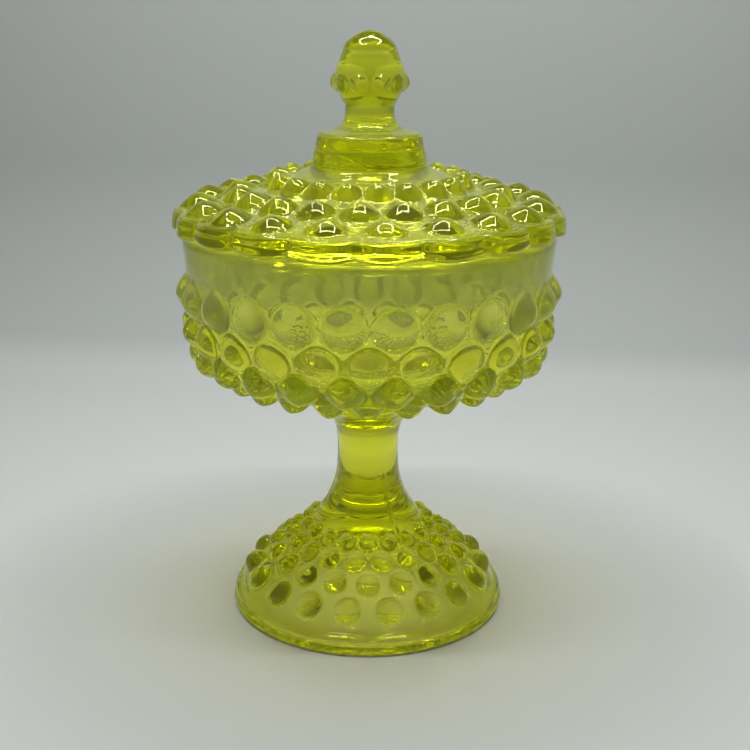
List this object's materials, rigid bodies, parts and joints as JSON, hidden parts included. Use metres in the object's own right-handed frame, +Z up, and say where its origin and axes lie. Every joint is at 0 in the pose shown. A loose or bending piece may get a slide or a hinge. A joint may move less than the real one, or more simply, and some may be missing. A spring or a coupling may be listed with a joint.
{
  "type": "covered footed glass dish",
  "caption": "Covered footed dish in pressed yellow-green glass: round bowl and lid with staggered rows of rounded studs, waisted stem, domed foot, collar and pointed finial.",
  "frame": {"origin": "centre of the foot's flat resting ring, on the table", "axes": "+Z up along the stem, towards the lid's finial; +X to the right of the dish seen from the front, 5 degrees short of the middle of one lobe of the lid"},
  "size_m": [0.142, 0.142, 0.216],
  "materials": {
    "bowl_glass": "polished pressed glass, yellow-green, faintly milky towards the rim",
    "lid_glass": "polished pressed glass, yellow-green with a milky opalescent skin"
  },
  "bodies": {
    "footed_bowl": {"footed_bowl": "bowl_glass"},
    "lid": {"lid": "lid_glass"}
  },
  "joints": [
    {"name": "lid_lift", "type": "slide", "parent": "footed_bowl", "child": "lid", "axis": [0, 0, 1], "range_m": [0, 0.12]}
  ]
}
